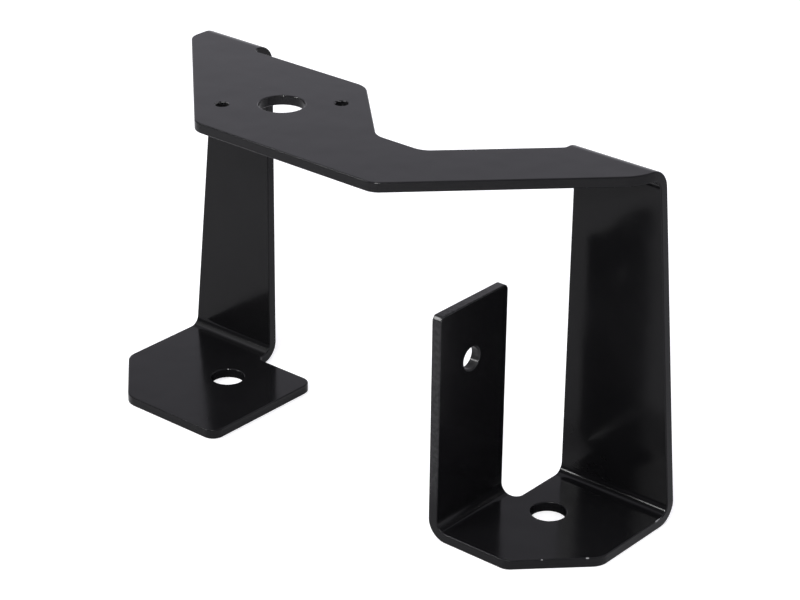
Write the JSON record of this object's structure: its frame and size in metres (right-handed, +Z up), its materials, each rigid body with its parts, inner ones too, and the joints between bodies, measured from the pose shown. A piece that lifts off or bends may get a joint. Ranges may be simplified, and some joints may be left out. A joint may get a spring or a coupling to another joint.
{
  "type": "work light bracket",
  "caption": "Folded steel bracket with an angled top plate for a work light, standing on bolt-down feet, with an upright tab for a cable or stay.",
  "frame": {"origin": "on the underside of the feet, halfway between the two foot bolt holes", "axes": "+X along the line through the foot bolt holes towards the foot with the tab, +Y towards the back faces of the legs, +Z up"},
  "size_m": [0.2435, 0.081, 0.14],
  "materials": {
    "paint": "gloss"
  },
  "bodies": {
    "root": {"bracket": "paint"}
  },
  "joints": []
}
